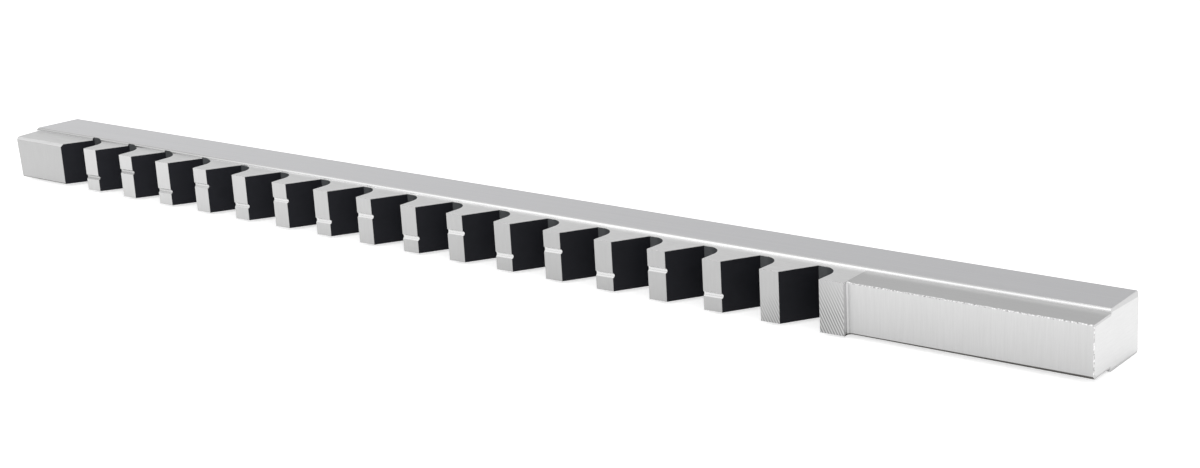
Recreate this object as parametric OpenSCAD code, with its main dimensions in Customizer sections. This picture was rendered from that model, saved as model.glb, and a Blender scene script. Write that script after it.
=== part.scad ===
// Push-type keyway broach: one ground bar of high-speed steel.
// A square-backed guide body carries a narrower blade with a row of rising teeth.
// It lies on its side: length along X, teeth towards -Y, flat back towards +Y, width along Z.

/* [Blade] */
// Width of the teeth, which is the width of the keyway they cut
tooth_width = 12.7; // [6:0.05:25]
// Height of the first cutting edge above the flat back
first_tip_height = 22.2; // [18:0.1:30]
// How much higher each cutting edge is than the one before it
rise_per_tooth = 0.11; // [0.02:0.01:0.25]
// Number of cutting teeth
tooth_count = 17; // [8:1:24]
// Distance from one cutting edge to the next
pitch = 16; // [13:0.1:24]

/* [Guide body] */
// How far the body stands out past the teeth on each side
body_step = 0.795; // [0.4:0.005:3]
// Depth of the body, from the flat back to the step
body_depth = 14; // [8:0.1:18]
// Radius of the fillet where the blade meets the step
step_fillet = 0.4; // [0.1:0.05:1.5]
// Bevel along the two long edges of the back
back_bevel = 0.3; // [0.1:0.05:1.5]

/* [Tooth form] */
// Length of the land behind each cutting edge
land_length = 5; // [3:0.1:8]
// Length of the land behind the last cutting edge
last_land_length = 6.2; // [3:0.1:10]
// Relief angle of the lands, in degrees
land_relief = 3; // [0.5:0.1:6]
// Hook angle of the cutting faces, in degrees
hook_angle = 5; // [0:0.5:18]
// Lean of the back of each tooth away from square, in degrees
back_angle = 34.5; // [20:0.5:45]
// Depth of each gullet below its cutting edge
gullet_depth = 8.6; // [6:0.05:10]
// Radius of the gullet root under the cutting face
root_radius = 4; // [2:0.1:5]

/* [Chip breakers] */
// How many teeth, counted from the pilot, have a chip breaker groove
breaker_teeth = 15; // [0:1:24]
// Width of a groove at the land
breaker_width = 1.45; // [0.6:0.05:2]
// Depth of a groove below the land
breaker_depth = 0.5; // [0.2:0.05:0.6]
// Groove centre from the lower side on the first tooth and every second one after it
lower_breaker_inset = 4.1; // [2:0.1:5]
// Groove centre from the upper side on the teeth between
upper_breaker_inset = 4.9; // [2:0.1:5]

/* [Pilot] */
// Length of the plain pilot ahead of the first gullet
pilot_length = 21; // [10:0.1:60]
// How far the pilot face lies below the first cutting edge
pilot_drop = 0.3; // [0.05:0.05:2]
// How far each side of the pilot lies inside the teeth
pilot_relief = 0.15; // [0.02:0.01:0.6]
// Bevel along the two long edges of the pilot face
pilot_bevel = 0.7; // [0.1:0.05:2]
// How much shorter the leading end is at the back than at the pilot face, which puts it out of square
lead_slant = 2.7; // [0:0.1:5]
// Bevel on the leading end, along its face and its sides
lead_bevel = 0.15; // [0.1:0.05:2]

/* [Shank] */
// Length of the plain shank behind the last tooth
shank_length = 59.4; // [20:0.1:120]
// How far the shank face lies below the last cutting edge
shank_drop = 1.66; // [0.8:0.01:4]
// How far each side of the shank lies inside the teeth
shank_relief = 0.2; // [0.02:0.01:0.6]
// Bevel along the two long edges of the shank face
shank_bevel = 0.15; // [0.1:0.05:2]
// Bevel on the end that the press pushes, along its face and its sides
push_bevel = 0.6; // [0.2:0.05:2]

/* [Hidden] */
$fn = 64;

// Clearance by which a cutter runs past the face it opens
over = 1;
// Edge bevel of the blade stock above the lands, where it is ground away
stock_bevel = over / 2;

gullet_mouth = pitch - land_length;
body_width = tooth_width + 2 * body_step;
pilot_width = tooth_width - 2 * pilot_relief;
shank_width = tooth_width - 2 * shank_relief;

first_edge = pilot_length + gullet_mouth;
last_edge = first_edge + (tooth_count - 1) * pitch;
shank_start = last_edge + last_land_length;
overall_length = shank_start + shank_length;

last_tip_height = first_tip_height + (tooth_count - 1) * rise_per_tooth;
pilot_height = first_tip_height - pilot_drop;
shank_height = last_tip_height - shank_drop;
overall_depth = last_tip_height;

// Angle by which the leading end leans from square
lead_lean = atan(lead_slant / pilot_height);

// Centre of the root arc: it touches the gullet floor and the cutting face
root_rise = gullet_depth - root_radius;
root_x = (root_rise * sin(hook_angle) - root_radius) / cos(hook_angle);
// How far the straight cutting face dips into the root arc, so that the two cross
root_overlap = 0.005;

// Radius of the round groove that has the chip breaker's width and depth
breaker_radius = (breaker_width ^ 2 / 4 + breaker_depth ^ 2) / (2 * breaker_depth);

// Place of a cutting edge along the bar and above the back; the first tooth is number 0
function edge_x(i) = first_edge + i * pitch;
function tip_height(i) = first_tip_height + i * rise_per_tooth;
function land_of(i) = i == tooth_count - 1 ? last_land_length : land_length;
function land_end(i) = [edge_x(i) + land_of(i), tip_height(i) - land_of(i) * tan(land_relief)];

// Point at which the slope ahead of a gullet starts: the pilot's edge or a land's end
function gullet_start(i) = i == 0 ? [pilot_length, pilot_height] : land_end(i - 1);

// Side view of the bar before the gullets are ground, x along the bar and y up from the back
module blank_profile() {
    lands = [for (i = [tooth_count - 1 : -1 : 0]) each [land_end(i), [edge_x(i), tip_height(i)]]];
    shank = [[overall_length, 0], [overall_length, shank_height], [shank_start, shank_height]];
    pilot = [[pilot_length, pilot_height], [0, pilot_height], [lead_slant, 0]];
    polygon(concat(shank, lands, pilot));
}

// Gullet ahead of one tooth, drawn about its cutting edge: flat floor, round root and hooked face,
// with the back of the tooth before it left standing as a slope
module gullet_profile(i) {
    edge = [edge_x(i), tip_height(i)];
    start = gullet_start(i) - edge;
    centre = [root_x, -root_rise];
    join = centre + (root_radius - root_overlap) * [cos(hook_angle), sin(hook_angle)];
    low = -gullet_depth - over;
    high = 2 * over;
    slope_low = start.x + (start.y - low) * tan(back_angle);
    slope_high = start.x + (start.y - high) * tan(back_angle);
    translate(edge) difference() {
        union() {
            polygon([
                [slope_high, over], [slope_high, -gullet_depth], [root_x, -gullet_depth],
                centre, join, [0, 0], [0, over]
            ]);
            intersection() {
                translate(centre) circle(root_radius);
                translate([root_x, low]) square(2 * (root_radius + over));
            }
        }
        polygon([
            [slope_high, high], [slope_low, low],
            [slope_high - over, low], [slope_high - over, high]
        ]);
    }
}

// Cross-section of the body, x up from the back and y across the width
module body_section() {
    half = body_width / 2;
    polygon([
        [0, -half + back_bevel], [back_bevel, -half], [body_depth, -half],
        [body_depth, half], [back_bevel, half], [0, half - back_bevel]
    ]);
}

// Cross-section of the blade on the body, with its bevelled edges and the fillets at the step
module blade_section(width, height, bevel) {
    half = width / 2;
    fillet = min(step_fillet, (body_width - width) / 2);
    polygon([
        [0, -half], [height - bevel, -half], [height, -half + bevel],
        [height, half - bevel], [height - bevel, half], [0, half]
    ]);
    for (side = [0, 1]) mirror([0, side]) difference() {
        translate([body_depth - over, 0]) square([over + fillet, half + fillet]);
        translate([body_depth + fillet, half + fillet]) circle(fillet);
    }
}

// A stretch of the bar: a cross-section carried along X from one place to another
module stretch(from, to) {
    translate([from, 0, 0]) rotate([90, 0, 90]) linear_extrude(to - from) children();
}

// The bar as it is squared up, with the pilot and the shank narrower than the blade between them
module bar() {
    blade_start = first_edge + root_x;
    stretch(0, overall_length) body_section();
    stretch(0, blade_start) blade_section(pilot_width, pilot_height, pilot_bevel);
    stretch(blade_start, shank_start) blade_section(tooth_width, overall_depth + over, stock_bevel);
    stretch(shank_start, overall_length) blade_section(shank_width, shank_height, shank_bevel);
}

// A side view carried across the whole width
module across() {
    linear_extrude(body_width + 2 * over, center = true) children();
}

// Round groove along a land that splits the chip
module chip_breaker(i) {
    z = i % 2 == 0 ? lower_breaker_inset - tooth_width / 2 : tooth_width / 2 - upper_breaker_inset;
    translate([edge_x(i), tip_height(i), z])
        rotate([0, 90, -land_relief])
            translate([0, breaker_radius - breaker_depth, -over])
                cylinder(h = land_of(i) + 2 * over, r = breaker_radius);
}

// Bevels on an end that faces +X at the origin: along its face and along the sides of body and blade
module end_bevels(step_height, face_height, blade_width, bevel) {
    corner = [[over, -over], [over, bevel + over], [-bevel - over, -over]];
    across() translate([0, face_height]) mirror([0, 1]) polygon(corner);
    for (side = [0, 1]) mirror([0, 0, side]) {
        translate([0, step_height, -body_width / 2])
            rotate([90, 0, 0]) linear_extrude(step_height + over) polygon(corner);
        translate([0, face_height + over, -blade_width / 2])
            rotate([90, 0, 0]) linear_extrude(face_height + over - step_height) polygon(corner);
    }
}

// The leading end's bevels, laid along its slant
module lead_bevels() {
    stretched = 1 / cos(lead_lean);
    translate([lead_slant, 0, 0]) rotate(lead_lean) mirror([1, 0, 0])
        end_bevels(body_depth * stretched, pilot_height * stretched, pilot_width, lead_bevel);
}

module keyway_broach() {
    color("#c6c8cb")
        translate([-overall_length / 2, overall_depth / 2, body_width / 2])
            mirror([0, 1, 0])
                difference() {
                    intersection() {
                        bar();
                        across() difference() {
                            blank_profile();
                            for (i = [0 : tooth_count - 1]) gullet_profile(i);
                        }
                    }
                    for (i = [0 : 1 : min(breaker_teeth, tooth_count) - 1]) chip_breaker(i);
                    lead_bevels();
                    translate([overall_length, 0, 0])
                        end_bevels(body_depth, shank_height, shank_width, push_bevel);
                }
}

keyway_broach();
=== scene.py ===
# %% [markdown]
# # A keyway broach in ground steel
# A push-type keyway broach is one bar of high-speed steel. Its plain back slides in a slotted guide, a narrower
# blade stands on that body, and a row of rising teeth along the blade cuts a keyway a little deeper at each tooth.
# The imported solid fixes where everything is, so this lesson only dresses it. It is loaded first and never moved.

# %% Load the frame
import math

import bmesh
import bpy
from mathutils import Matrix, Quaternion, Vector


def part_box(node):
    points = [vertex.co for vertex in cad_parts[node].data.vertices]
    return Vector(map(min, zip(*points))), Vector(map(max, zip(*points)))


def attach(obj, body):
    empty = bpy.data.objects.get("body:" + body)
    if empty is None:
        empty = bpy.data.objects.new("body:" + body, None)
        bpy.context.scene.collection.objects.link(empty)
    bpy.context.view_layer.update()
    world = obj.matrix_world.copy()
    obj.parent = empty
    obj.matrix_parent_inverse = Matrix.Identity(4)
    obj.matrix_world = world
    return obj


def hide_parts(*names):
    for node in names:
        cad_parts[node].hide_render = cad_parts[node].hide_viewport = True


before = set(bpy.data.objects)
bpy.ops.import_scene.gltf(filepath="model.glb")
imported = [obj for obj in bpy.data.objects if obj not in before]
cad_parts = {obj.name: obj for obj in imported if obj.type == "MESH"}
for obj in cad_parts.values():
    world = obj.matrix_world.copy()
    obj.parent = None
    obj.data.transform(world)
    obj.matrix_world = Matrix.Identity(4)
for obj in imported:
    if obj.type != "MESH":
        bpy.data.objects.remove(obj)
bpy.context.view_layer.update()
low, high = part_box("keyway_broach")
print("CAD box in mm:", [round(1000 * (b - a), 2) for a, b in zip(low, high)])

# %% [markdown]
# ## Sizes
# A maker would read these off the drawing. They are in millimetres, measured from the leading end (x), up from
# the flat back (h) and out from the middle of the width (z), which is how the tool is ground. The overall length,
# depth and width come from the frame, and one function turns a drawing point into a place in the frame.

# %% Drawing sizes
MM = 0.001

LENGTH = (high.x - low.x) / MM
DEPTH = (high.y - low.y) / MM
WIDTH = (high.z - low.z) / MM

TOOTH_COUNT = 17
PITCH = 16.0
FIRST_EDGE = 32.0
RISE = 0.11
LAST_TIP = DEPTH
FIRST_TIP = LAST_TIP - (TOOTH_COUNT - 1) * RISE
TOOTH_HALF = 6.35

LAND = 5.0
LAST_LAND = 6.2
RELIEF = math.radians(3)
HOOK = math.radians(5)
BACK_LEAN = math.radians(34.5)
GULLET_DEPTH = 8.6
ROOT_RADIUS = 4.0
SHANK_START = FIRST_EDGE + (TOOTH_COUNT - 1) * PITCH + LAST_LAND


def at(x, h, z):
    """A drawing point as a place in the frame, in metres."""
    return Vector((low.x + x * MM, high.y - h * MM, (low.z + high.z) / 2 + z * MM))


print("first tip", round(FIRST_TIP, 2), "mm above the back, shank from", SHANK_START, "mm on")

# %% [markdown]
# ## Finishes
# The tool is one steel, but each face was ground in its own way, and that is what the eye reads: long fine lines
# on the guide body, lines across the bar on the marked pad, slanted hatching on the finishing lands, and gullets
# left black from hardening. A finish could be painted, but procedural nodes keep the lines at their real size
# from any distance, so each finish is a small node tree on Object coordinates. The tones were matched to the
# photograph, and the causes named below are a grinder's likely reading of them.

# %% Node and colour helpers


def add_node(tree, kind, feeds=None, **settings):
    """Add a node. Settings are its own properties; feeds fill its inputs with a value or another node's output."""
    node = tree.nodes.new(kind)
    for name, value in settings.items():
        setattr(node, name, value)
    for name, value in (feeds or {}).items():
        if isinstance(value, bpy.types.NodeSocket):
            tree.links.new(value, node.inputs[name])
        else:
            node.inputs[name].default_value = value
    return node


def linear(colour):
    """An sRGB hex colour as linear RGBA."""
    parts = [int(colour[i:i + 2], 16) / 255 for i in (1, 3, 5)]
    return [c / 12.92 if c <= 0.04045 else ((c + 0.055) / 1.055) ** 2.4 for c in parts] + [1.0]


def new_material(name):
    """A material with only a Principled shader, and its tree."""
    material = bpy.data.materials.new(name)
    material.use_nodes = True
    tree = material.node_tree
    tree.nodes.clear()
    shader = add_node(tree, "ShaderNodeBsdfPrincipled")
    add_node(tree, "ShaderNodeOutputMaterial", {"Surface": shader.outputs["BSDF"]})
    return material, tree, shader


# %% [markdown]
# ### Ground steel
# Surface grinding leaves fine parallel lines. A noise stretched along the wheel's travel gives them: the stretch
# is the length of a line and the squeeze is its width, both in millimetres. Real lines are about 0.05 mm wide,
# too fine to show, so they are drawn a few times coarser. Steel is a metal, so the colour is its reflection, and
# the lines only shift it by a few hundredths and tilt the light with a very small bump. Edges that were broken by
# hand have no travel: there the same noise is as long as it is wide, and it breaks up into specks.

# %% Ground steel


def ground_steel(name, dark, light, line, roughness, bump_height, spread=1.0):
    """Hardened steel ground along the longest side of line, the size in mm of one grinding line along x, y and z.
    Spread is the share of the noise's range that goes from dark to light."""
    material, tree, shader = new_material(name)
    coordinates = add_node(tree, "ShaderNodeTexCoord")
    stretch = add_node(
        tree, "ShaderNodeMapping",
        {"Vector": coordinates.outputs["Object"], "Scale": [1 / (size * MM) for size in line]},
    )
    lines = add_node(
        tree, "ShaderNodeTexNoise",
        {"Vector": stretch.outputs["Vector"], "Scale": 1.0, "Detail": 3.0, "Roughness": 0.6},
    )
    share = add_node(
        tree, "ShaderNodeMapRange",
        {"Value": lines.outputs["Fac"], "From Min": 0.5 - spread / 2, "From Max": 0.5 + spread / 2},
    )
    tone = add_node(
        tree, "ShaderNodeMix",
        {"Factor": share.outputs["Result"], "A": linear(dark), "B": linear(light)},
        data_type="RGBA",
    )
    bump = add_node(
        tree, "ShaderNodeBump",
        {"Height": lines.outputs["Fac"], "Strength": 1.0, "Distance": bump_height * MM},
    )
    tree.links.new(tone.outputs["Result"], shader.inputs["Base Color"])
    tree.links.new(bump.outputs["Normal"], shader.inputs["Normal"])
    shader.inputs["Metallic"].default_value = 1.0
    shader.inputs["Roughness"].default_value = roughness
    return material


# %% [markdown]
# The long faces were ground lengthwise and the short ones across. How rough a face is decides how much of the room
# it shows, so the faces that look calm are the rougher ones, and those that glint are smooth.

# %% Steel finishes
# Long fine lines and a soft sheen: the calm grey of the upper side
body_steel = ground_steel("ground_steel_guide_body", "#d6d6d8", "#e4e4e6", (60, 0.3, 0.3), 0.34, 0.002)
# The same lines on the back, which the photograph hides; greyer, so that it keeps a tone beside the white floor
back_steel = ground_steel("ground_steel_back", "#a9a9ab", "#bababc", (60, 0.3, 0.3), 0.36, 0.002)
# Short lines and hardly any mirror: the pale sides of the teeth
side_steel = ground_steel("ground_steel_tooth_sides", "#dadada", "#f8f8f8", (5, 0.3, 0.3), 0.5, 0.004)
# The sides of the shank look plain and even
shank_steel = ground_steel("ground_steel_shank_sides", "#cbcbcb", "#d7d7d7", (40, 0.3, 0.3), 0.48, 0.002)
# The pilot is greyer, with faint lines across the bar
pilot_steel = ground_steel("ground_steel_pilot", "#b8b8b8", "#c2c2c2", (0.5, 0.5, 6), 0.36, 0.002)
# Fine upright lines like brushed metal: the bright pad
pad_steel = ground_steel("cross_ground_steel_pad", "#cacaca", "#d8d8d8", (0.3, 0.3, 7), 0.36, 0.003)
# A nearly plain pale grey behind the cutting edges
land_steel = ground_steel("ground_steel_lands", "#d6d6d6", "#e3e3e3", (0.4, 0.4, 5), 0.36, 0.002)
# Pale ends with short lines along their depth
end_steel = ground_steel("cross_ground_steel_ends", "#dadada", "#e6e6e6", (0.4, 5, 0.4), 0.42, 0.003)
# Almost a mirror: the rounded step shows the brightest part of the room as a white line
step_steel = ground_steel("ground_steel_step_wall", "#f2f2f2", "#fcfcfc", (50, 0.3, 0.3), 0.22, 0.001)
# Thin glints, broken by the strokes of the stone
edge_steel = ground_steel("stoned_steel_edges", "#a0a0a0", "#ffffff", (0.6, 0.6, 0.6), 0.26, 0.001)
# A wheel that shook left bright and dark specks by turns
chatter_steel = ground_steel("chattered_steel_pad_edges", "#8c8c8c", "#ffffff", (0.6, 0.6, 0.6), 0.3, 0.001, 0.36)
# Painted shade: a dark brownish grey on the lower bevels, which mirror the shaded floor under the tool and draw a dark
# line
painted_shade_steel = ground_steel("scaled_steel_corners", "#4e4b48", "#767370", (0.8, 0.8, 0.8), 0.4, 0.001)
print("steel finishes:", [m.name for m in bpy.data.materials if "steel" in m.name])

# %% [markdown]
# ### Painted shade and hatched faces
# Some shade is painted into the colour. The lands get greyer towards the shank and towards the lower side, where
# they mirror the floor close to the tool's shade, and only the end of the last one is lighter again. The lower half
# of the pad is greyer than the upper, as the same painted shade, and the white reflection on the rounded step is
# painted fainter towards both ends of the bar. The last lands were finished on a coarser wheel that crossed them
# at a slant. Its lines show as a fine hatching, over most of the last land and only at the bottom of the ones
# before. Each could be a finish of its own, but a multiplier on the colour that changes with the place keeps one
# finish.

# %% Painted shade and hatching
HATCH_START = SHANK_START - 38.0
HATCH_FULL = SHANK_START - 6.0
HATCH_GAIN = 1.6
HATCH_LOSS = 1.65


def along(x):
    """A place along the bar, from mm on the drawing to metres in the frame."""
    return at(x, 0, 0).x


def place_in(tree):
    """The place on the tool as separate x, y and z sockets."""
    coordinates = add_node(tree, "ShaderNodeTexCoord")
    return add_node(tree, "ShaderNodeSeparateXYZ", {0: coordinates.outputs["Object"]}).outputs


def multiply_colour(material, factor):
    """Multiply a finish's colour by a socket of its tree."""
    tree = material.node_tree
    shader = next(node for node in tree.nodes if node.type == "BSDF_PRINCIPLED")
    colour = shader.inputs["Base Color"].links[0].from_socket
    scaled = add_node(tree, "ShaderNodeVectorMath", {0: colour, 1: factor}, operation="MULTIPLY")
    tree.links.new(scaled.outputs["Vector"], shader.inputs["Base Color"])


def darken_along(material, axis, start, end, amount):
    """Darken a finish evenly along an axis, from its full tone at start to an amount of it at end, both in metres."""
    fade = add_node(
        material.node_tree, "ShaderNodeMapRange",
        {
            "Value": place_in(material.node_tree)[axis],
            "From Min": start, "From Max": end, "To Min": 1.0, "To Max": amount,
        },
    )
    multiply_colour(material, fade.outputs["Result"])


def hatch(material, spacing, slant, strength, rest):
    """Slanted wheel lines on the last lands. Spacing is in mm, slant turns the lines away from upright, strength is
    how much they darken the finish, and rest is the level of the wave that leaves it as it is."""
    tree = material.node_tree
    coordinates = add_node(tree, "ShaderNodeTexCoord")
    turned = add_node(
        tree, "ShaderNodeMapping",
        {"Vector": coordinates.outputs["Object"], "Rotation": (0, slant, 0)},
    )
    lines = add_node(
        tree, "ShaderNodeTexWave",
        {"Vector": turned.outputs["Vector"], "Scale": math.pi / 10 / (spacing * MM), "Distortion": 0.8, "Detail": 2.0},
        wave_type="BANDS", bands_direction="X",
    )
    place = place_in(tree)
    # The lines gain along the bar and lose up the width, so each land is hatched a little higher than the one before
    last = add_node(
        tree, "ShaderNodeMapRange",
        {
            "Value": place["X"], "From Min": along(HATCH_START), "From Max": along(HATCH_FULL),
            "To Min": 0.0, "To Max": HATCH_GAIN,
        },
    )
    raised = add_node(
        tree, "ShaderNodeMapRange",
        {"Value": place["Z"], "From Min": low.z, "From Max": high.z, "To Min": 0.0, "To Max": -HATCH_LOSS},
    )
    reach = add_node(
        tree, "ShaderNodeMath", {0: last.outputs["Result"], 1: raised.outputs["Result"]},
        operation="ADD", use_clamp=True,
    )
    depth = add_node(tree, "ShaderNodeMath", {0: lines.outputs["Fac"], 1: rest}, operation="SUBTRACT")
    cut = add_node(tree, "ShaderNodeMath", {0: reach.outputs["Value"], 1: depth.outputs["Value"]}, operation="MULTIPLY")
    factor = add_node(
        tree, "ShaderNodeMath", {0: cut.outputs["Value"], 1: -strength, 2: 1.0}, operation="MULTIPLY_ADD"
    )
    multiply_colour(material, factor.outputs["Value"])


# Painted shade: the lands greyer towards the shank and the lower side, and the last land's end lighter again
darken_along(land_steel, "X", along(60), along(200), 0.76)
darken_along(land_steel, "X", along(SHANK_START), along(SHANK_START - LAST_LAND), 0.9)
darken_along(land_steel, "Z", high.z, low.z, 0.93)
# Painted shade: the lower half of the pad greyer
darken_along(pad_steel, "Z", high.z, low.z, 0.79)
# Painted reflection: the white line on the rounded step fainter towards both ends
darken_along(step_steel, "X", along(115), along(70), 0.76)
darken_along(step_steel, "X", along(290), along(330), 0.92)
hatch(land_steel, spacing=0.67, slant=math.radians(27), strength=0.7, rest=0.27)
print("hatched finish:", land_steel.name)

# %% [markdown]
# ### Black gullets
# The gullets are roughed before hardening and keep the dark oxide that the salt bath leaves. Oxide is no metal
# to the eye: a near-black, slightly blue skin with a faint dull sheen. The round root is dressed once more with
# the wheel, so it is a little lighter and glossier than the back of the tooth. The skin gets darker towards the
# push end.

# %% Black oxide


def black_oxide(name, dark, light, roughness, specular):
    """Dark hardening skin, faintly cloudy over a few millimetres."""
    material, tree, shader = new_material(name)
    coordinates = add_node(tree, "ShaderNodeTexCoord")
    cloud = add_node(
        tree, "ShaderNodeTexNoise",
        {"Vector": coordinates.outputs["Object"], "Scale": 1 / (3 * MM), "Detail": 4.0},
    )
    tone = add_node(
        tree, "ShaderNodeMix",
        {"Factor": cloud.outputs["Fac"], "A": linear(dark), "B": linear(light)},
        data_type="RGBA",
    )
    tree.links.new(tone.outputs["Result"], shader.inputs["Base Color"])
    shader.inputs["Roughness"].default_value = roughness
    shader.inputs["Specular IOR Level"].default_value = specular
    return material


# Blue-black and nearly matte: the gullets read as dark windows between the bright teeth
gullet_oxide = black_oxide("black_oxide_gullets", "#1b1c22", "#26272d", 0.6, 0.16)
# Dark grey with a soft sheen that shows how the root turns
root_oxide = black_oxide("dressed_oxide_roots", "#444648", "#4f5254", 0.42, 0.4)
darken_along(gullet_oxide, "X", low.x, high.x, 0.5)
print("oxide finishes:", gullet_oxide.name, root_oxide.name)

# %% [markdown]
# ## The squared-up bar
# Before any tooth exists the tool is a bar: a body with bevelled back edges, a step with a rounded edge and a sharp
# foot, and a narrower blade that rises from the step. The bar could be boxes joined together, but a row of
# cross-sections with the same points, skinned with quads, gives every bevel and round at once and keeps the mesh
# closed. Each ring is one section; two rings at the same place make a shoulder.

# %% Cross-section of the bar
BODY_HALF = WIDTH / 2
BODY_DEPTH = 14.0
BACK_BEVEL = 0.3
STEP_ROUND = 0.75
ROUND_STEPS = 10
# What stands above the highest tooth until the lands are ground
STOCK = 0.3

PILOT_HALF = 6.2
PILOT_TOP = FIRST_TIP - 0.3
SHANK_HALF = 6.15
PAD_TOP = LAST_TIP - 1.66

# Bevels of the upper and the lower long edge; the pad's lower one grows towards the push end
PILOT_BEVELS = (0.7, 0.3)
BLADE_BEVELS = (0.05, 0.05)
PAD_BEVELS = (0.25, 0.4)
PUSHED_BEVELS = (0.25, 0.85)


def section(blade_half, top, bevel):
    """Half of a cross-section as points (h, z), from the back to the middle of the blade's face."""
    centre = (BODY_DEPTH - STEP_ROUND, BODY_HALF - STEP_ROUND)
    turns = [math.pi / 2 * k / ROUND_STEPS for k in range(ROUND_STEPS + 1)]
    back = [(0, BODY_HALF - BACK_BEVEL), (BACK_BEVEL, BODY_HALF)]
    step = [(centre[0] + STEP_ROUND * math.sin(a), centre[1] + STEP_ROUND * math.cos(a)) for a in turns]
    blade = [(BODY_DEPTH, blade_half), (top - bevel, blade_half), (top, blade_half - bevel)]
    return back + step + blade


def halves(blade_half, top, bevels):
    """The upper and the lower half of a cross-section."""
    return [section(blade_half, top, bevel) for bevel in bevels]


# Which way a point moves, in h and z, when the end of the bar is bevelled there
INWARD = [(0, -1)] * (ROUND_STEPS + 4) + [(-1, -1)] * 2


def ring(x, sections, bevels=None, inset=False, setback=1, slant=0, tilt=0):
    """A whole section at x, from its upper and lower halves. Bevels give, for each point of a half, how far in its
    bevel ends on the end face, inset makes the section of that face itself, and setback says where along x the
    bevel starts, as a share of its size. Slant sets the section back at the bar's back, tilt at its lower side."""
    outline = []
    for side, half, sizes in zip((1, -1), sections, bevels or ([0] * len(sections[0]),) * 2):
        places = []
        for (h, z), (dh, dz), size in zip(half, INWARD, sizes):
            shift = size if inset else 0
            lean = slant * max(0, 1 - h / BODY_DEPTH) + tilt * (1 - side * z / BODY_HALF) / 2
            start = x + lean + (0 if inset else setback * size)
            places.append(at(start, h + dh * shift, side * (z + dz * shift)))
        outline.append(places)
    return outline[0] + outline[1][::-1]


PILOT = halves(PILOT_HALF, PILOT_TOP, PILOT_BEVELS)
BLADE = halves(TOOTH_HALF, LAST_TIP + STOCK, BLADE_BEVELS)
SHANK = halves(SHANK_HALF, PAD_TOP, PAD_BEVELS)
PUSHED = halves(SHANK_HALF, PAD_TOP, PUSHED_BEVELS)
print("points in a section:", len(PILOT[0]) + len(PILOT[1]))

# %% [markdown]
# The ends were trued by hand on a grinder. The leading end leans: it is longest at the pilot's face and on the
# upper side, and it has hardly any bevel. On the push end the bevel of the upper side is widest at the back corner
# and narrows towards the step, so each point of the section has its own bevel size there. Where the pad begins the
# wheel left a small round corner below the last land, which takes a few rings of its own.

# %% Rings along the bar
LEAD_BEVEL = 0.12
LEAD_LEAN = {"slant": 2.7, "tilt": 0.8}
PUSH_BEVEL = 0.5
PUSH_BEVEL_STEP = 0.8
PUSH_BEVEL_CORNER = 1.4
# A steep bevel: it starts before the end by only a small share of its size
PUSH_SETBACK = -0.15
# The blade gets its full width inside the first gullet, where the change is ground away
BLADE_START = FIRST_EDGE - 3.3
SHOULDER_ROUND = 0.5
SHOULDER_STEPS = 6
SHANK_RAMP = 1.2

points_in_half = len(PILOT[0])
lead = ([LEAD_BEVEL] * points_in_half,) * 2
past_back = [PUSH_BEVEL_STEP] * (ROUND_STEPS + 1) + [PUSH_BEVEL] * 3
push = ([PUSH_BEVEL_CORNER] * 2 + past_back, [PUSH_BEVEL] * 2 + past_back)


def shoulder_ring(turn):
    """A ring in the round corner between the last land and the pad, at an angle from its upright side."""
    x = SHOULDER_ROUND * (1 - math.cos(turn))
    top = PAD_TOP + SHOULDER_ROUND * (1 - math.sin(turn))
    blade_half = TOOTH_HALF + (SHANK_HALF - TOOTH_HALF) * x / SHANK_RAMP
    return ring(SHANK_START + x, halves(blade_half, top, PAD_BEVELS))


shoulder = [shoulder_ring(math.pi / 2 * k / SHOULDER_STEPS) for k in range(SHOULDER_STEPS + 1)]
print("rings in the pad's shoulder:", len(shoulder))

# %% [markdown]
# A stretch of the bar runs from one ring to the next, and each of its strips has a finish by name. Most stretches
# share the same ones, so only what changes is written down. The lower bevels of the pilot and the pad get a dark
# painted shade, where they mirror the shaded floor under the tool, and the wheel that broke the pad's upper edge
# and its end chattered.

# %% Finishes along the bar
HALF_STRIPS = ["back_edge", "body"] + ["step"] * (ROUND_STEPS + 1) + ["side"]
STRIPS = HALF_STRIPS + ["upper_bevel", "face", "lower_bevel"] + HALF_STRIPS[::-1] + ["back"]
USUAL = {
    "back_edge": edge_steel, "body": body_steel, "step": step_steel, "side": side_steel, "upper_bevel": edge_steel,
    "face": land_steel, "lower_bevel": edge_steel, "back": back_steel,
}


def dress(**changes):
    """The finish of each strip of a stretch: the usual ones with some changes."""
    return {**USUAL, **changes}


# Painted shade on the lower bevels of the pilot and the pad
pilot = dress(upper_bevel=side_steel, face=pilot_steel, lower_bevel=painted_shade_steel)
pad_start = dress(side=shank_steel, face=pad_steel, lower_bevel=painted_shade_steel)
pad_wall = dress(face=end_steel, lower_bevel=painted_shade_steel)
pad = {**pad_start, "upper_bevel": chatter_steel}
push_edge = {**dict.fromkeys(STRIPS, shank_steel), "face": chatter_steel}
STRETCHES = [
    (ring(0, PILOT, lead, inset=True, **LEAD_LEAN), dict.fromkeys(STRIPS, edge_steel)),
    (ring(0, PILOT, lead, **LEAD_LEAN), pilot),
    (ring(BLADE_START, PILOT), dress(side=end_steel, face=end_steel)),
    (ring(BLADE_START, BLADE), USUAL),
    (ring(SHANK_START, BLADE), pad_wall),
    *[(points, pad_start) for points in shoulder],
    (ring(SHANK_START + SHANK_RAMP, SHANK), pad),
    (ring(LENGTH, PUSHED, push, setback=PUSH_SETBACK), push_edge),
    (ring(LENGTH, PUSHED, push, inset=True), None),
]
FINISHES = [body_steel, back_steel, side_steel, shank_steel, pilot_steel, pad_steel, land_steel, end_steel, step_steel,
            edge_steel, chatter_steel, painted_shade_steel, gullet_oxide, root_oxide]
slot_of = {material: number for number, material in enumerate(FINISHES)}
print("stretches:", len(STRETCHES) - 1, "with", len(STRIPS), "strips each")

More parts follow.
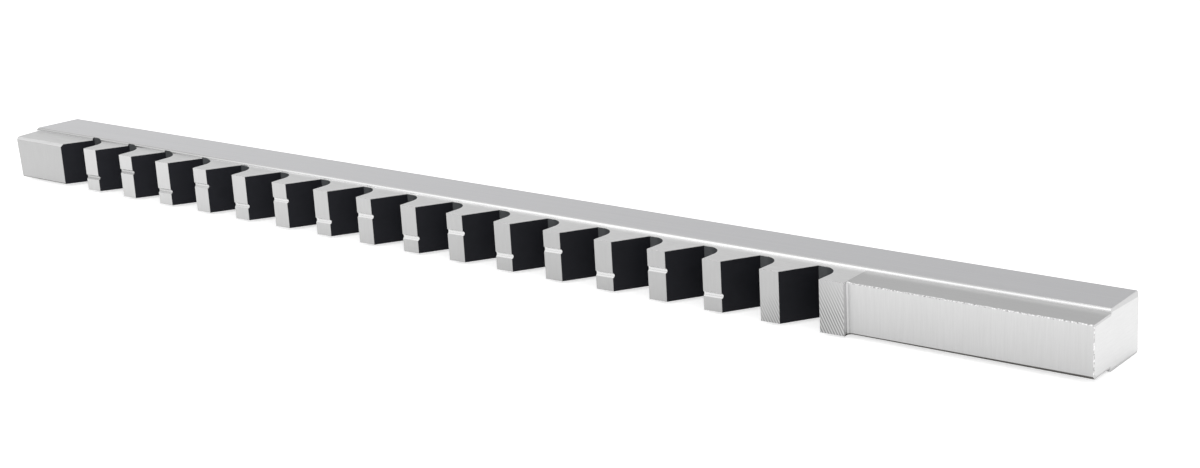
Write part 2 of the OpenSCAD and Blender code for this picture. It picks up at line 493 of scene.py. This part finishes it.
# %% [markdown]
# Neighbouring rings have the same points, so the skin is one quad for each strip of each stretch, and one face
# closes each end.

# %% Skin the bar


def new_mesh_object(name, bm, materials):
    """A mesh object from a bmesh, with its faces turned outwards."""
    bmesh.ops.recalc_face_normals(bm, faces=bm.faces)
    mesh = bpy.data.meshes.new(name)
    bm.to_mesh(mesh)
    bm.free()
    for material in materials:
        mesh.materials.append(material)
    return bpy.data.objects.new(name, mesh)


bm = bmesh.new()
verts = [[bm.verts.new(point) for point in points] for points, _ in STRETCHES]
for near, far, (_, finishes) in zip(verts, verts[1:], STRETCHES):
    for k, strip in enumerate(STRIPS):
        after = (k + 1) % len(STRIPS)
        face = bm.faces.new((near[k], near[after], far[after], far[k]))
        face.material_index = slot_of[finishes[strip]]
for cap in (verts[0], verts[-1]):
    bm.faces.new(cap).material_index = slot_of[end_steel]
bmesh.ops.remove_doubles(bm, verts=bm.verts, dist=1e-7)
bmesh.ops.dissolve_degenerate(bm, edges=bm.edges, dist=1e-7)
bar = new_mesh_object("squared_bar", bm, FINISHES)
bpy.context.scene.collection.objects.link(bar)
print("bar:", len(bar.data.polygons), "faces")

# %% [markdown]
# ## The tooth cutter
# A grinding wheel dressed to the gullet's shape makes each tooth: down the sloping back of the tooth before,
# along a flat floor, round the root and up the hooked cutting face. The land behind the cutting edge is ground
# with a little relief. Both cuts are one profile here, drawn about the cutting edge and carried across the bar,
# and each face of the cutter already has the finish that it leaves behind.

# %% Profile of one tooth cutter
OVER = 1.0
ROOT_STEPS = 24
GULLET_MOUTH = PITCH - LAND


def tooth_profile():
    """Points (x, h) about a cutting edge, and the finish of the face that starts at each point."""
    rise = GULLET_DEPTH - ROOT_RADIUS
    centre_x = (rise * math.sin(HOOK) - ROOT_RADIUS) / math.cos(HOOK)
    start = (-GULLET_MOUTH, -RISE - LAND * math.tan(RELIEF))
    foot = (start[0] + (GULLET_DEPTH + start[1]) * math.tan(BACK_LEAN), -GULLET_DEPTH)
    turns = [-math.pi / 2 + (math.pi / 2 + HOOK) * k / ROOT_STEPS for k in range(ROOT_STEPS + 1)]
    root = [(centre_x + ROOT_RADIUS * math.cos(a), -rise + ROOT_RADIUS * math.sin(a)) for a in turns]
    land_end = (LAST_LAND + OVER, -(LAST_LAND + OVER) * math.tan(RELIEF))
    top = LAST_TIP - FIRST_TIP + OVER
    points = [start, foot] + root + [(0, 0), land_end, (land_end[0], top), (start[0] - OVER, top)]
    finishes = [gullet_oxide] + [root_oxide] * (len(root) + 1) + [land_steel] + [gullet_oxide] * 3
    return points, finishes


profile, profile_finish = tooth_profile()
bm = bmesh.new()
reach = (BODY_HALF + OVER) * MM
sides = [[bm.verts.new((x * MM, -h * MM, z)) for x, h in profile] for z in (-reach, reach)]
for k, finish in enumerate(profile_finish):
    after = (k + 1) % len(profile)
    face = bm.faces.new((sides[0][k], sides[0][after], sides[1][after], sides[1][k]))
    face.material_index = slot_of[finish]
for side in sides:
    bm.faces.new(side).material_index = slot_of[gullet_oxide]
tooth_cutter = new_mesh_object("tooth_cutter", bm, FINISHES)
print("tooth cutter:", len(profile), "points in its profile")

# %% [markdown]
# ## Seventeen teeth by Geometry Nodes
# The teeth follow one rule: the same cut, one pitch further along and a little higher each time. Geometry Nodes
# say just that. A mesh line holds one point per cutting edge, the cutter is instanced on it, a small round
# cutter for the chip breaker is instanced beside it on alternate sides, and two booleans take them out of the
# bar, the gullets first. Changing the pitch or the count is then a change of one input.

# %% Tree that cuts the teeth
BREAKER_TEETH = 15
BREAKER_WIDTH = 1.45
BREAKER_DEPTH = 0.5
LOWER_BREAKER_INSET = 4.1
UPPER_BREAKER_INSET = 4.9
breaker_radius = (BREAKER_WIDTH ** 2 / 4 + BREAKER_DEPTH ** 2) / (2 * BREAKER_DEPTH)

# Smooth and bright: each groove catches the light as a short white dash; the first few are greyer by painted shade
breaker_steel = ground_steel("ground_steel_chip_breakers", "#d8d8d8", "#e0e0e0", (4, 0.3, 0.3), 0.20, 0.0)
# Painted shade: the grooves of the first teeth darker towards the leading end
darken_along(breaker_steel, "X", along(110), along(50), 0.7)
first_edge_place = at(FIRST_EDGE, FIRST_TIP, 0)

INPUTS = [
    ("Tooth cutter", "NodeSocketObject", tooth_cutter),
    ("Breaker finish", "NodeSocketMaterial", breaker_steel),
    ("Tooth count", "NodeSocketInt", TOOTH_COUNT),
    ("First edge", "NodeSocketVector", tuple(first_edge_place)),
    ("Step to next edge", "NodeSocketVector", (PITCH * MM, -RISE * MM, 0)),
    ("Breaker teeth", "NodeSocketInt", BREAKER_TEETH),
    ("Breaker radius", "NodeSocketFloat", breaker_radius * MM),
    ("Breaker length", "NodeSocketFloat", (LAND + 2 * OVER) * MM),
    ("Breaker middle", "NodeSocketVector", (LAND / 2 * MM, -(breaker_radius - BREAKER_DEPTH) * MM, 0)),
    ("Breaker turn", "NodeSocketVector", (0, math.pi / 2, RELIEF)),
    ("Lower breaker", "NodeSocketFloat", (LOWER_BREAKER_INSET - TOOTH_HALF) * MM),
    ("Upper breaker", "NodeSocketFloat", (TOOTH_HALF - UPPER_BREAKER_INSET) * MM),
]


def breaker_rods(tree, sizes, edges):
    """Round cutters for the chip breakers, instanced on the first cutting edges, on the lower and upper half by
    turns. Their faces are marked, so that the grooves get a finish of their own."""
    # Sockets 2 and 3 are the whole-number inputs of Compare and the plain number inputs of Mix
    number = add_node(tree, "GeometryNodeInputIndex")
    has_breaker = add_node(
        tree, "FunctionNodeCompare",
        {2: number.outputs["Index"], 3: sizes["Breaker teeth"]},
        data_type="INT", operation="LESS_THAN",
    )
    odd = add_node(tree, "ShaderNodeMath", {0: number.outputs["Index"], 1: 2.0}, operation="MODULO")
    height = add_node(
        tree, "ShaderNodeMix",
        {"Factor": odd.outputs["Value"], 2: sizes["Lower breaker"], 3: sizes["Upper breaker"]},
        data_type="FLOAT",
    )
    offset = add_node(tree, "ShaderNodeCombineXYZ", {"Z": height.outputs[0]})
    breaker_points = add_node(
        tree, "GeometryNodeSetPosition",
        {"Geometry": edges, "Offset": offset.outputs["Vector"]},
    )
    rod = add_node(
        tree, "GeometryNodeMeshCylinder",
        {"Vertices": 40, "Radius": sizes["Breaker radius"], "Depth": sizes["Breaker length"]},
    )
    laid_rod = add_node(
        tree, "GeometryNodeTransform",
        {"Geometry": rod.outputs["Mesh"], "Translation": sizes["Breaker middle"], "Rotation": sizes["Breaker turn"]},
    )
    marked_rod = add_node(
        tree, "GeometryNodeStoreNamedAttribute",
        {"Geometry": laid_rod.outputs["Geometry"], "Name": "breaker", "Value": True},
        data_type="BOOLEAN", domain="FACE",
    )
    return add_node(
        tree, "GeometryNodeInstanceOnPoints",
        {
            "Points": breaker_points.outputs["Geometry"],
            "Selection": has_breaker.outputs["Result"],
            "Instance": marked_rod.outputs["Geometry"],
        },
    )


def tooth_tree():
    """Node tree that cuts the teeth and chip breakers out of the bar."""
    tree = bpy.data.node_groups.new("cut_teeth", "GeometryNodeTree")
    tree.interface.new_socket("Geometry", in_out="INPUT", socket_type="NodeSocketGeometry")
    for name, kind, _ in INPUTS:
        tree.interface.new_socket(name, in_out="INPUT", socket_type=kind)
    tree.interface.new_socket("Geometry", in_out="OUTPUT", socket_type="NodeSocketGeometry")
    sizes = add_node(tree, "NodeGroupInput").outputs

    edges = add_node(
        tree, "GeometryNodeMeshLine",
        {"Count": sizes["Tooth count"], "Start Location": sizes["First edge"], "Offset": sizes["Step to next edge"]},
    )
    wheel = add_node(tree, "GeometryNodeObjectInfo", {"Object": sizes["Tooth cutter"]})
    gullets = add_node(
        tree, "GeometryNodeInstanceOnPoints",
        {"Points": edges.outputs["Mesh"], "Instance": wheel.outputs["Geometry"]},
    )
    breakers = breaker_rods(tree, sizes, edges.outputs["Mesh"])

    teeth = add_node(
        tree, "GeometryNodeMeshBoolean",
        {"Mesh 1": sizes["Geometry"], "Mesh 2": gullets.outputs["Instances"]},
        operation="DIFFERENCE", solver="MANIFOLD",
    )
    grooved = add_node(
        tree, "GeometryNodeMeshBoolean",
        {"Mesh 1": teeth.outputs["Mesh"], "Mesh 2": breakers.outputs["Instances"]},
        operation="DIFFERENCE", solver="MANIFOLD",
    )
    whole = add_node(tree, "GeometryNodeRealizeInstances", {"Geometry": grooved.outputs["Mesh"]})
    in_breaker = add_node(tree, "GeometryNodeInputNamedAttribute", {"Name": "breaker"}, data_type="BOOLEAN")
    finished = add_node(
        tree, "GeometryNodeSetMaterial",
        {
            "Geometry": whole.outputs["Geometry"],
            "Selection": in_breaker.outputs["Attribute"],
            "Material": sizes["Breaker finish"],
        },
    )
    add_node(tree, "NodeGroupOutput", {"Geometry": finished.outputs["Geometry"]})
    return tree


# %% [markdown]
# The inputs are set by their identifiers before the tree is evaluated. Its result is kept as a plain mesh, and the
# modifier, the uncut bar and the cutter are removed.

# %% Cut the teeth
cut = bar.modifiers.new("teeth", "NODES")
cut.node_group = tooth_tree()
values = {name: value for name, _, value in INPUTS}
for socket in cut.node_group.interface.items_tree:
    if socket.in_out == "INPUT" and socket.name in values:
        cut[socket.identifier] = values[socket.name]

depsgraph = bpy.context.evaluated_depsgraph_get()
broach_mesh = bpy.data.meshes.new_from_object(bar.evaluated_get(depsgraph))
bar.modifiers.remove(cut)
bpy.data.objects.remove(bar)
bpy.data.objects.remove(tooth_cutter)
broach_mesh.name = "keyway_broach_looks"
print("cut bar:", len(broach_mesh.polygons), "faces,", [m.name for m in broach_mesh.materials])

# %% [markdown]
# ## Stoned edges
# A ground edge is never perfectly sharp. After grinding, a few strokes of an oil stone leave a hair-thin bevel
# along the outline of each tooth side, and that line catches the light. The cutting edges themselves stay sharp.
# A Bevel modifier picks edges by their angle and would blunt the cutting edges too, so the edges are chosen by
# the two finishes that meet there: a tooth side, and a land or a gullet.

# %% Bevel the outlines of the tooth sides
STONED_BEVEL = 0.07

index_of = {m.name: k for k, m in enumerate(broach_mesh.materials)}
side_faces = {index_of[m.name] for m in (side_steel, shank_steel)}
cut_faces = {index_of[m.name] for m in (gullet_oxide, root_oxide, land_steel)}

bm = bmesh.new()
bm.from_mesh(broach_mesh)
bmesh.ops.remove_doubles(bm, verts=bm.verts, dist=1e-7)
bmesh.ops.dissolve_limit(
    bm, angle_limit=math.radians(0.2), verts=bm.verts, edges=bm.edges, delimit={"MATERIAL"}
)


def is_side_outline(edge):
    """Whether a tooth side meets a land or a gullet along this edge."""
    met = {face.material_index for face in edge.link_faces}
    return len(met) == 2 and met & side_faces and met & cut_faces


outlines = [edge for edge in bm.edges if is_side_outline(edge)]
bmesh.ops.bevel(
    bm, geom=outlines, offset=STONED_BEVEL * MM, segments=2, profile=0.5, affect="EDGES",
    material=index_of[edge_steel.name],
)
for face in bm.faces:
    face.smooth = True
for edge in bm.edges:
    edge.smooth = edge.calc_face_angle(math.pi) < math.radians(30)
print("stoned edges:", len(outlines), "closed mesh:", all(edge.is_manifold for edge in bm.edges))
bm.to_mesh(broach_mesh)
bm.free()

# %% [markdown]
# Flat faces have to stay flat to the eye beside their tiny bevels. Weighted normals do that: at each corner the
# big face decides the shading and the bevel blends into it.

# %% Weighted normals and the finished piece
broach = bpy.data.objects.new("ground_broach", broach_mesh)
bpy.context.scene.collection.objects.link(broach)
weigh = broach.modifiers.new("flat_faces", "WEIGHTED_NORMAL")
weigh.keep_sharp = True
depsgraph = bpy.context.evaluated_depsgraph_get()
shaded_mesh = bpy.data.meshes.new_from_object(broach.evaluated_get(depsgraph))
broach.modifiers.remove(weigh)
broach.data = shaded_mesh
bpy.data.meshes.remove(broach_mesh)

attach(broach, "root")
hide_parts("keyway_broach")
print("broach:", len(shaded_mesh.polygons), "faces,", len(shaded_mesh.vertices), "points")

# %% [markdown]
# ## Floor, light and camera
# The tool lies on a white sweep under a soft box. The floor is matte and white, so it keeps the soft shadow under
# the tool. A little glow, seen only by the camera and in reflections, lifts it to the white of a studio sweep
# without putting more light on the steel. In reflections the glow fades close to the tool, where a real floor lies
# in the tool's own shade.

# %% White floor
FLOOR_SIZE = 8.0
FLOOR_GLOW = 0.47
CAMERA_GAIN = 1.25
SHADE_REACH = 4.0

# Paper white with no sheen, so the floor shows a shadow and no mirror image
floor_material, floor_tree, floor_shader = new_material("matte_white_sweep")
floor_shader.inputs["Base Color"].default_value = linear("#f2f2f2")
floor_shader.inputs["Roughness"].default_value = 1.0
floor_shader.inputs["Specular IOR Level"].default_value = 0.0
floor_shader.inputs["Emission Color"].default_value = linear("#ffffff")
path = add_node(floor_tree, "ShaderNodeLightPath").outputs
openness = add_node(floor_tree, "ShaderNodeAmbientOcclusion", {"Distance": SHADE_REACH * MM}, samples=8)
mirrored = add_node(
    floor_tree, "ShaderNodeMath", {0: path["Is Glossy Ray"], 1: openness.outputs["AO"]}, operation="MULTIPLY"
)
seen = add_node(
    floor_tree, "ShaderNodeMath", {0: path["Is Camera Ray"], 1: CAMERA_GAIN, 2: mirrored.outputs["Value"]},
    operation="MULTIPLY_ADD",
)
glow = add_node(floor_tree, "ShaderNodeMath", {0: seen.outputs["Value"], 1: FLOOR_GLOW}, operation="MULTIPLY")
floor_tree.links.new(glow.outputs["Value"], floor_shader.inputs["Emission Strength"])

bm = bmesh.new()
bmesh.ops.create_grid(bm, x_segments=1, y_segments=1, size=FLOOR_SIZE / 2)
floor = new_mesh_object("floor", bm, [floor_material])
bpy.context.scene.collection.objects.link(floor)
print("floor:", FLOOR_SIZE, "m square")

# %% [markdown]
# Polished steel shows the room more than the lamps. Behind the tool the room is pale at the horizon and greyer
# above it, which keeps the upper side of the bar a calm grey. In front, to the left of the camera, stands a bright
# bank: the rounded step and the chip breakers catch it as a white line. The room is darker to the left of the bank,
# so that line fades towards the leading end. The ceiling is dark, because the soft box will hide it.

# %% Room
world = bpy.data.worlds.new("studio")
bpy.context.scene.world = world
world.use_nodes = True
tree = world.node_tree
tree.nodes.clear()
direction = add_node(tree, "ShaderNodeTexCoord")
parts = add_node(tree, "ShaderNodeSeparateXYZ", {0: direction.outputs["Generated"]})


def tones_by_height(steps):
    """Grey tones of the room from the horizon (0) up to the ceiling (1)."""
    ramp = add_node(tree, "ShaderNodeValToRGB", {"Fac": parts.outputs["Z"]})
    while len(ramp.color_ramp.elements) < len(steps):
        ramp.color_ramp.elements.new(0.5)
    for stop, (place, tone) in zip(ramp.color_ramp.elements, steps):
        stop.position = place
        stop.color = (tone, tone, tone, 1.0)
    return ramp.outputs["Color"]


def blend(axis, start, end, before, after):
    """One part of the room up to start along an axis of the direction, another from end on."""
    share = add_node(tree, "ShaderNodeMapRange", {"Value": parts.outputs[axis], "From Min": start, "From Max": end})
    return add_node(
        tree, "ShaderNodeMix", {"Factor": share.outputs["Result"], "A": before, "B": after}, data_type="RGBA"
    ).outputs["Result"]


back_wall = tones_by_height(
    [(0.0, 0.95), (0.14, 0.86), (0.24, 0.68), (0.36, 0.52), (0.6, 0.60), (0.86, 0.66), (0.94, 0.1)])
bright_back = tones_by_height(
    [(0.0, 0.98), (0.14, 0.92), (0.24, 0.88), (0.36, 0.66), (0.6, 0.62), (0.86, 0.66), (0.94, 0.1)])
light_bank = tones_by_height(
    [(0.0, 0.9), (0.12, 1.15), (0.3, 1.15), (0.5, 1.3), (0.85, 1.2), (0.94, 0.1)])
left_front = tones_by_height(
    [(0.0, 0.6), (0.12, 0.45), (0.3, 0.45), (0.5, 0.8), (0.7, 0.9), (0.86, 0.78), (0.94, 0.1)])
right_front = tones_by_height(
    [(0.0, 0.8), (0.12, 0.7), (0.3, 0.7), (0.5, 1.15), (0.85, 1.1), (0.94, 0.1)])
back = blend("X", -0.78, -0.4, bright_back, back_wall)
front = blend("X", -0.73, -0.62, left_front, blend("X", -0.55, -0.4, light_bank, right_front))
room = blend("Y", -0.25, 0.2, front, back)
background = add_node(tree, "ShaderNodeBackground", {"Color": room, "Strength": 1.0})
add_node(tree, "ShaderNodeOutputWorld", {"Surface": background.outputs["Background"]})
print("room:", world.name)

# %% [markdown]
# One big soft box hangs overhead, where a photographer would put it to light a long tool evenly. It gives the soft
# shadow on the floor.

# %% Soft box


def soft_box(name, width, height, place, aim, level):
    """A rectangular lamp. Level is how bright its face is, where 1 is white."""
    lamp = bpy.data.lights.new(name, "AREA")
    lamp.shape = "RECTANGLE"
    lamp.size = width
    lamp.size_y = height
    lamp.energy = level * math.pi * width * height
    box = bpy.data.objects.new(name, lamp)
    box.location = place
    box.rotation_euler = (Vector(aim) - Vector(place)).to_track_quat("-Z", "Y").to_euler()
    bpy.context.scene.collection.objects.link(box)
    print(name, "gives", round(lamp.energy, 2), "W")


soft_box("overhead_box", 1.6, 1.2, (0.1, 0.0, 1.4), (0, 0, 0), 0.75)

# %% [markdown]
# The camera stands to the right of the push end, a little above the bar, as in the photograph. Its place, aim,
# tilt and lens were worked out from the tool's corners, so the frame needs no shift.

# %% Camera
EYE = Vector((0.3529, -0.3963, 0.1661))
AIM = Vector((0.0401, 0.0, 0.0106))
ROLL = math.radians(-3.29)

camera_data = bpy.data.cameras.new("camera")
camera_data.sensor_fit = "HORIZONTAL"
camera_data.sensor_width = 36.0
camera_data.lens = 63.67
camera_data.clip_start = 0.01
camera = bpy.data.objects.new("camera", camera_data)
camera.location = EYE
camera.rotation_mode = "QUATERNION"
camera.rotation_quaternion = (AIM - EYE).to_track_quat("-Z", "Y") @ Quaternion((0, 0, 1), ROLL)
bpy.context.scene.collection.objects.link(camera)
bpy.context.scene.camera = camera
bpy.context.scene.view_settings.view_transform = "Standard"
print("camera", round((AIM - EYE).length, 3), "m from its aim")
